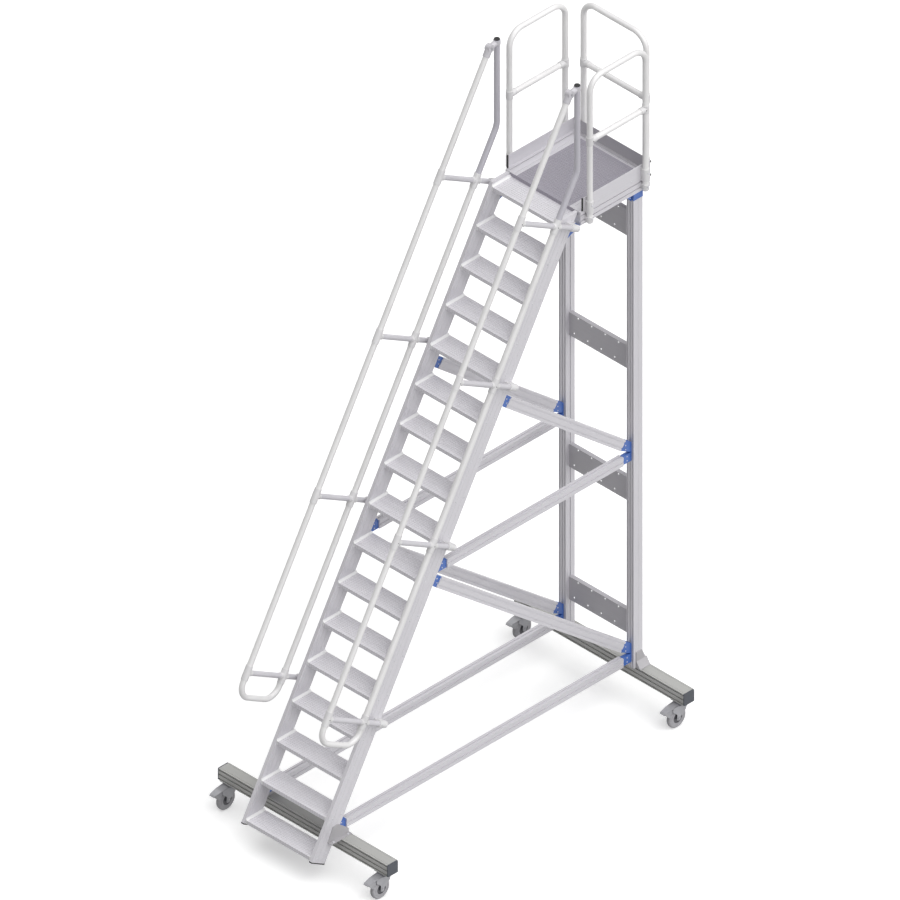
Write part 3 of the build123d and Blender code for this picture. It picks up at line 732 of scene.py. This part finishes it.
def toe_board_end_caps():
    """Black caps pushed over the front ends of the side toe boards' webs."""
    low, high = TOE_BOARD
    web = 4
    wall = 2
    front = 2108
    depth = 10
    above_beam = 1
    above_board = 1.5
    half = web / 2 + wall
    shape = bmesh.new()
    for way in (-1, 1):
        middle = way * (high.x - web / 2)
        outline = rectangle(middle - half, middle + half, front, front + depth)
        extruded(shape, outline, low.z + above_beam, high.z + above_board, Z)
    soften(shape, width=1.0)
    return shape


def clamp_bolt_height(low, high):
    """How high the bolt of a guard's clamp sits, two thirds up."""
    height_share = 0.68
    return low.z + height_share * (high.z - low.z)


def side_clamp_bolts():
    """Hexagon heads on the outer face of the side guards' clamps."""
    seat = 380
    places = []
    for low, high in solid_boxes("guard_clamps"):
        middle = (low + high) / 2
        if abs(middle.x) > STRINGER_OUTER:
            way = copysign(1, middle.x)
            places.append(((way * seat, middle.y, clamp_bolt_height(low, high)), (way, 0, 0)))
    return scatter(hex_head(across=13, height=6, washer=8), places)


def rear_clamp_bolts():
    """Black heads on the rear guard's clamps, set to the outer side of each."""
    seat = 2754.5
    outward = 15
    places = []
    for low, high in solid_boxes("guard_clamps"):
        middle = (low + high) / 2
        if abs(middle.x) < STRINGER_OUTER:
            x = middle.x + copysign(outward, middle.x)
            places.append(((x, seat, clamp_bolt_height(low, high)), (0, 1, 0)))
    return scatter(hex_head(across=13, height=6.5, washer=7.5), places)


# Fasteners on the handrails

def elbow_bolts():
    """The pivot bolt of each handrail's top elbow, a head on both sides."""
    pivot_y = 1976.6
    pivot_z = 5024.9
    outer = 377
    inner = 339
    places = []
    for way in (-1, 1):
        for x, towards in ((outer, way), (inner, -way)):
            places.append(((way * x, pivot_y, pivot_z), (towards, 0, 0)))
    return scatter(hex_head(across=17, height=6, washer=11), places)


def arm_foot_bolts():
    """Two heads on the outer side of each handrail arm's foot, across the flight's slope."""
    seat = 380
    spread = 22
    places = []
    for low, high in solid_boxes("arm_feet"):
        middle = (low + high) / 2
        way = copysign(1, middle.x)
        for step in (-spread, spread):
            point = (way * seat, middle.y + step * sin(SLOPE), middle.z - step * cos(SLOPE))
            places.append((point, (way, 0, 0)))
    return scatter(domed_head(radius=6, height=4.5), places)


def sleeve_screws():
    """One grub screw on the outer side of every rail sleeve and side guard's tee."""
    seat = 381
    places = []
    for low, high in solid_boxes("rail_fittings") + solid_boxes("guard_fittings"):
        middle = (low + high) / 2
        if abs(middle.x) > STRINGER_OUTER:
            way = copysign(1, middle.x)
            places.append(((way * seat, middle.y, middle.z), (way, 0, 0)))
    return scatter(domed_head(radius=4, height=2.5), places)


# Shoes and feet of folded sheet

def post_head_shoes():
    """Blue sleeves round the heads of the rear posts."""
    sheet = 1.5
    length = 48
    shape = bmesh.new()
    for side in ("left", "right"):
        low, high = whole_box(f"rear_post_{side}")
        foot = high.z - length
        rings = []
        for height, proud in ((foot, sheet), (high.z, sheet), (high.z, 0), (foot, 0)):
            ring = rectangle(low.x - proud, high.x + proud, low.y - proud, high.y + proud)
            rings.append([shape.verts.new((x, y, height)) for x, y in ring])
        for k in range(4):
            ring_faces(shape, rings[k], rings[(k + 1) % 4])
    return shape


FOOT_SHEET = 6
SOLE_TOP = BEAM_TOP + FOOT_SHEET


def foot_brackets():
    """Folded feet that tie the stringers and the posts to the beams."""
    front_cheek = [(-141, SOLE_TOP), (-94, 384), (-46, 382), (45, 308), (45, SOLE_TOP)]
    front_sole = rectangle(-138, 45, BEAM_TOP, SOLE_TOP)
    sole_width = 35
    gusset_front = 2590
    gusset_back = 2682
    rear_cheek = [(gusset_front, 322), (gusset_front, 397), (2641, 397), (2674, 322)]
    gusset = [(0, BEAM_TOP), (0, 328), (FOOT_SHEET, 328), (32.5, 287), (39.5, SOLE_TOP), (39.5, BEAM_TOP)]
    shape = bmesh.new()
    for way in (-1, 1):
        stringer_face = way * STRINGER_OUTER
        post_face = way * POST_OUTER
        extruded(shape, front_cheek, stringer_face, stringer_face + way * FOOT_SHEET, X)
        extruded(shape, front_sole, stringer_face, stringer_face + way * sole_width, X)
        extruded(shape, rear_cheek, post_face, post_face + way * FOOT_SHEET, X)
        section = [(post_face + way * out, height) for out, height in gusset]
        extruded(shape, section, gusset_front, gusset_back, Y)
    soften(shape, width=1.2)
    return shape


def foot_bracket_bolts():
    """Heads that hold each front foot's sole to the beam."""
    outward = 23
    along = (20, -110)
    places = []
    for way in (-1, 1):
        for y in along:
            places.append(((way * (STRINGER_OUTER + outward), y, SOLE_TOP), (0, 0, 1)))
    return scatter(hex_head(across=13, height=5, washer=8), places)


# Casters, each drawn about its swivel pin at x, y

def caster_plate_bolts():
    """Four low heads under each caster's top plate."""
    plate = 6
    half_across = 41
    half_along = 33
    places = []
    for low, high in solid_boxes("caster_top_plates"):
        middle = (low + high) / 2
        for x in (-half_across, half_across):
            for y in (-half_along, half_along):
                places.append(((middle.x + x, middle.y + y, high.z - plate), (0, 0, -1)))
    return scatter(domed_head(radius=5.5, height=3.5), places)


def fork_cheeks(x, y):
    """Caster fork: pressed crown with two broad cheeks that taper to the axle."""
    sheet = 4
    inner = 23
    back = -84
    crown_sheet = 5
    bridge_foot = 163.5
    bridge_top = 168.2
    outline = [(back, FORK_TOP), (32, FORK_TOP), (34, 164), (14, 118)]
    outline += arc((-AXLE_BEHIND, AXLE_HEIGHT), radius=17, first=20, step=-31, count=8)
    outline += [(-60, 104), (-72, 120), (-92, 133), (-100, 148), (-98, 160)]
    outline = [(y + along, height) for along, height in outline]
    shape = bmesh.new()
    for start in (inner, -inner - sheet):
        extruded(shape, outline, x + start, x + start + sheet, X)
    crown = arc((x, y), radius=38, first=0, step=360 / 32, count=32)
    extruded(shape, crown, FORK_TOP - crown_sheet, FORK_TOP, Z)
    half = inner + sheet
    extruded(shape, rectangle(x - half, x + half, y + back, y), bridge_foot, bridge_top, Z)
    soften(shape, width=1.0)
    return shape


def brake_housing(x, y):
    """Folded brake housing under the pedal, cut to clear the wheel."""
    sheet = 3
    inner = 18
    # The wheel stands on the floor, so its radius is the axle's height.
    clear_of_wheel = AXLE_HEIGHT + 6
    front_edge = [(-158, 158), (-152, 137), (-130, 114)]
    front_inside = [(-128, 118), (-148, 139), (-154, 158)]
    outline = [(-60, 168), (-108, 168)] + front_edge
    outline += arc((-AXLE_BEHIND, AXLE_HEIGHT), radius=clear_of_wheel, first=156, step=-16, count=5)
    outline = [(y + along, height) for along, height in outline]
    shape = bmesh.new()
    for start in (-inner - sheet, inner):
        extruded(shape, outline, x + start, x + start + sheet, X)
    nose = [(y + along, height) for along, height in front_edge + front_inside]
    extruded(shape, nose, x - inner, x + inner, X)
    soften(shape, width=0.8)
    return shape


new_piece("cross_plate_rivets", cross_plate_rivets(), "rivet")
new_piece("shoe_bolts", shoe_bolts(), "bolt")
new_piece("step_bolts", step_bolts(), "bolt")
new_piece("toe_board_screws", toe_board_screws(), "bolt")
new_piece("side_clamp_bolts", side_clamp_bolts(), "bolt")
new_piece("rear_clamp_bolts", rear_clamp_bolts(), "dark_bolt")
new_piece("toe_board_end_caps", toe_board_end_caps(), "cap")
new_piece("elbow_bolts", elbow_bolts(), "zinc")
new_piece("arm_foot_bolts", arm_foot_bolts(), "bolt")
new_piece("sleeve_screws", sleeve_screws(), "dark_bolt")
new_piece("caster_plate_bolts", caster_plate_bolts(), "bolt")
new_piece("post_head_shoes", post_head_shoes(), "shoe")
new_piece("foot_bracket_bolts", foot_bracket_bolts(), "bolt")
feet = new_piece("folded_foot_brackets", foot_brackets(), "bracket")
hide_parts("foot_brackets")
for plate_low, plate_high in solid_boxes("caster_top_plates"):
    pin = (plate_low + plate_high) / 2
    end = "front" if pin.y < MIDDLE else "rear"
    side = "left" if pin.x < 0 else "right"
    body = f"caster_{end}_{side}"
    cheeks = new_piece(f"fork_cheeks_{end}_{side}", fork_cheeks(pin.x, pin.y), "zinc", body)
    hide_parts(f"caster_fork_{end}_{side}")
    new_piece(f"brake_housing_{end}_{side}", brake_housing(pin.x, pin.y), "pedal", body)


# Floor, light and camera

def seen_directly(tree):
    """1 on what the camera, a mirror or glass sees, 0 for the light on the object."""
    paths = add_node(tree, "ShaderNodeLightPath")
    seen = add_node(
        tree,
        "ShaderNodeMath",
        {"operation": "MAXIMUM"},
        {0: paths.outputs["Is Camera Ray"], 1: paths.outputs["Is Glossy Ray"]},
    )
    shown = add_node(
        tree,
        "ShaderNodeMath",
        {"operation": "MAXIMUM"},
        {0: seen.outputs["Value"], 1: paths.outputs["Is Transmission Ray"]},
    )
    return shown.outputs["Value"]


def floor_material():
    """Plain pale floor: near white to the eye, grey to the light it throws back."""
    material, tree = new_material("pale_studio_floor")
    shown = seen_directly(tree)
    colour = add_node(
        tree,
        "ShaderNodeMix",
        {"data_type": "RGBA", 6: linear("#8F8F8F"), 7: linear("#F4F4F4")},
        {0: shown},
    )
    matt = add_node(tree, "ShaderNodeBsdfDiffuse", {}, {"Color": colour.outputs[2]})
    glow = add_node(tree, "ShaderNodeEmission", {"Strength": 0.35})
    lifted = add_node(tree, "ShaderNodeAddShader", {}, {0: matt.outputs["BSDF"], 1: glow.outputs["Emission"]})
    both = add_node(
        tree,
        "ShaderNodeMixShader",
        {},
        {0: shown, 1: matt.outputs["BSDF"], 2: lifted.outputs["Shader"]},
    )
    add_node(tree, "ShaderNodeOutputMaterial", {}, {"Surface": both.outputs["Shader"]})
    return material


FLOOR_HALF_M = 60.0
floor_mesh = bpy.data.meshes.new("floor")
floor_shape = bmesh.new()
bmesh.ops.create_grid(floor_shape, x_segments=4, y_segments=4, size=FLOOR_HALF_M)
floor_shape.to_mesh(floor_mesh)
floor_shape.free()
floor = bpy.data.objects.new("floor", floor_mesh)
# Half a millimetre under the wheels, so that no face lies in another.
floor.location.z = -0.5 * MM
floor_mesh.materials.append(floor_material())
bpy.context.scene.collection.objects.link(floor)

# A white room: weak as light on the object, full white where it is seen.
world = bpy.data.worlds.new("studio")
bpy.context.scene.world = world
world.use_nodes = True
world.node_tree.nodes.clear()
strength = add_node(
    world.node_tree,
    "ShaderNodeMapRange",
    {"To Min": 0.21, "To Max": 1.0},
    {"Value": seen_directly(world.node_tree)},
)
sky = add_node(
    world.node_tree,
    "ShaderNodeBackground",
    {"Color": (1.0, 1.0, 1.0, 1.0)},
    {"Strength": strength.outputs["Result"]},
)
add_node(world.node_tree, "ShaderNodeOutputWorld", {}, {"Surface": sky.outputs["Background"]})

lamps = (
    # name, direction to the lamp, strength, spread in degrees
    ("key_lamp", (0.80, 0.04, 0.60), 1.85, 75.0),
    ("top_lamp", (0.0, -0.03, 1.0), 1.4, 75.0),
)
for lamp_name, towards_lamp, power, spread in lamps:
    light = bpy.data.lights.new(lamp_name, "SUN")
    light.energy = power
    light.angle = radians(spread)
    lamp = bpy.data.objects.new(lamp_name, light)
    lamp.rotation_euler = Vector(towards_lamp).to_track_quat("Z", "Y").to_euler()
    bpy.context.scene.collection.objects.link(lamp)

# The drawing is an exact isometric view, FRAME_WIDTH_M across the frame.
FRAME_WIDTH_M = 5.673
FRAME_MIDDLE_M = Vector((0.0, 0.0272, 2.4534))
EYE_DISTANCE_M = 15.0
towards_eye = Vector((1.0, -1.0, 1.0)).normalized()
camera = bpy.data.cameras.new("camera")
camera.type = "ORTHO"
camera.ortho_scale = FRAME_WIDTH_M
camera.clip_end = 4 * EYE_DISTANCE_M
eye = bpy.data.objects.new("camera", camera)
eye.location = FRAME_MIDDLE_M + EYE_DISTANCE_M * towards_eye
eye.rotation_euler = towards_eye.to_track_quat("Z", "Y").to_euler()
bpy.context.scene.collection.objects.link(eye)
bpy.context.scene.camera = eye
bpy.context.scene.view_settings.view_transform = "Standard"
